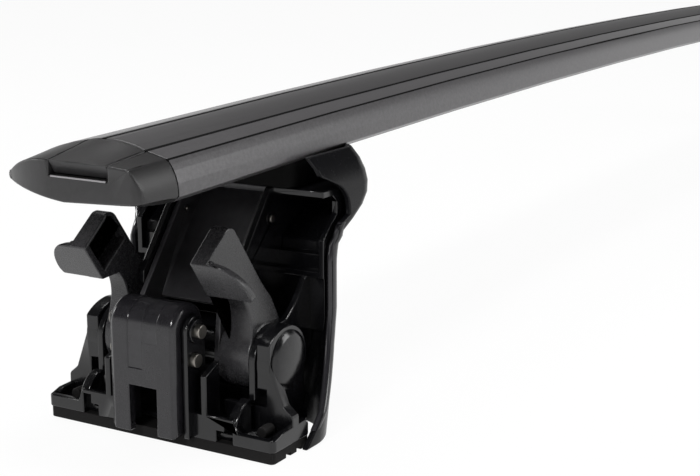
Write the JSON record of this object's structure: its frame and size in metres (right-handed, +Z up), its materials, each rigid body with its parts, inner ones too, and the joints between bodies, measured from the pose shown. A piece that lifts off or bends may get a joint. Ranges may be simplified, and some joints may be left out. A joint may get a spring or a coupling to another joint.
{
  "type": "vehicle roof rack crossbar",
  "caption": "Wing-section roof rack crossbar with a rubber top strip and plastic end caps on two clamp-on feet, each with a steel leg, catch levers and a roof pad.",
  "frame": {"origin": "on the roof plane, below the middle of the bar", "axes": "+X along the bar, towards the foot that the picture shows; +Y towards the bar's blunt leading edge; +Z up"},
  "size_m": [1.2324, 0.1244, 0.1431],
  "materials": {
    "bar_coat": "satin",
    "cap_plastic": "matte",
    "strip_rubber": "satin",
    "foot_plastic": "glossy",
    "lever_plastic": "semi-gloss",
    "leg_steel": "textured powder coat",
    "zinc_steel": "zinc plated",
    "pad_rubber": "matte"
  },
  "bodies": {
    "rack": {"crossbar": "bar_coat", "top_strip": "strip_rubber", "right_bar_saddle": "foot_plastic", "right_bar_bolt": "zinc_steel", "right_bar_nut": "zinc_steel", "right_leg_bracket": "leg_steel", "right_pivot_spacer": "foot_plastic", "right_tower_frame": "foot_plastic", "right_frame_screws": "zinc_steel", "right_tower_shell": "foot_plastic", "right_end_cap": "cap_plastic", "right_end_cap_flap_pin": "zinc_steel", "left_bar_saddle": "foot_plastic", "left_bar_bolt": "zinc_steel", "left_bar_nut": "zinc_steel", "left_leg_bracket": "leg_steel", "left_pivot_spacer": "foot_plastic", "left_tower_frame": "foot_plastic", "left_frame_screws": "zinc_steel", "left_tower_shell": "foot_plastic", "left_end_cap": "cap_plastic", "left_end_cap_flap_pin": "zinc_steel"},
    "right_base": {"right_base_plate": "foot_plastic", "right_rubber_pad": "pad_rubber", "right_pivot_pin": "zinc_steel", "right_pivot_caps": "foot_plastic", "right_block_pin": "zinc_steel", "right_block_clips": "foot_plastic", "right_lug_studs": "zinc_steel"},
    "right_block": {"right_clamp_block": "foot_plastic"},
    "right_front_catch": {"right_front_lever": "lever_plastic"},
    "right_rear_catch": {"right_rear_lever": "lever_plastic"},
    "right_flap": {"right_end_cap_flap": "cap_plastic"},
    "left_base": {"left_base_plate": "foot_plastic", "left_rubber_pad": "pad_rubber", "left_pivot_pin": "zinc_steel", "left_pivot_caps": "foot_plastic", "left_block_pin": "zinc_steel", "left_block_clips": "foot_plastic", "left_lug_studs": "zinc_steel"},
    "left_block": {"left_clamp_block": "foot_plastic"},
    "left_front_catch": {"left_front_lever": "lever_plastic"},
    "left_rear_catch": {"left_rear_lever": "lever_plastic"},
    "left_flap": {"left_end_cap_flap": "cap_plastic"}
  },
  "joints": [
    {"name": "right_base_tilt", "type": "hinge", "parent": "rack", "child": "right_base", "pos_m": [0.5315, 0, 0.0355], "axis": [0, 1, 0], "range_deg": [-4, 4]},
    {"name": "right_front_catch_turn", "type": "hinge", "parent": "rack", "child": "right_front_catch", "pos_m": [0.5315, 0, 0.0355], "axis": [0, -1, 0], "range_deg": [0, 20]},
    {"name": "right_rear_catch_turn", "type": "hinge", "parent": "rack", "child": "right_rear_catch", "pos_m": [0.5315, 0, 0.0355], "axis": [0, -1, 0], "range_deg": [0, 20]},
    {"name": "right_block_swing", "type": "hinge", "parent": "right_base", "child": "right_block", "pos_m": [0.557, 0, 0.05], "axis": [0, -1, 0], "range_deg": [0, 30]},
    {"name": "right_flap_lift", "type": "hinge", "parent": "rack", "child": "right_flap", "pos_m": [0.61242, 0.012, 0.12524], "axis": [0, 1, 0], "range_deg": [0, 70]},
    {"name": "left_base_tilt", "type": "hinge", "parent": "rack", "child": "left_base", "pos_m": [-0.5315, 0, 0.0355], "axis": [0, -1, 0], "range_deg": [-4, 4]},
    {"name": "left_front_catch_turn", "type": "hinge", "parent": "rack", "child": "left_front_catch", "pos_m": [-0.5315, 0, 0.0355], "axis": [0, 1, 0], "range_deg": [0, 20]},
    {"name": "left_rear_catch_turn", "type": "hinge", "parent": "rack", "child": "left_rear_catch", "pos_m": [-0.5315, 0, 0.0355], "axis": [0, 1, 0], "range_deg": [0, 20]},
    {"name": "left_block_swing", "type": "hinge", "parent": "left_base", "child": "left_block", "pos_m": [-0.557, 0, 0.05], "axis": [0, 1, 0], "range_deg": [0, 30]},
    {"name": "left_flap_lift", "type": "hinge", "parent": "rack", "child": "left_flap", "pos_m": [-0.61242, 0.012, 0.12524], "axis": [0, -1, 0], "range_deg": [0, 70]}
  ]
}
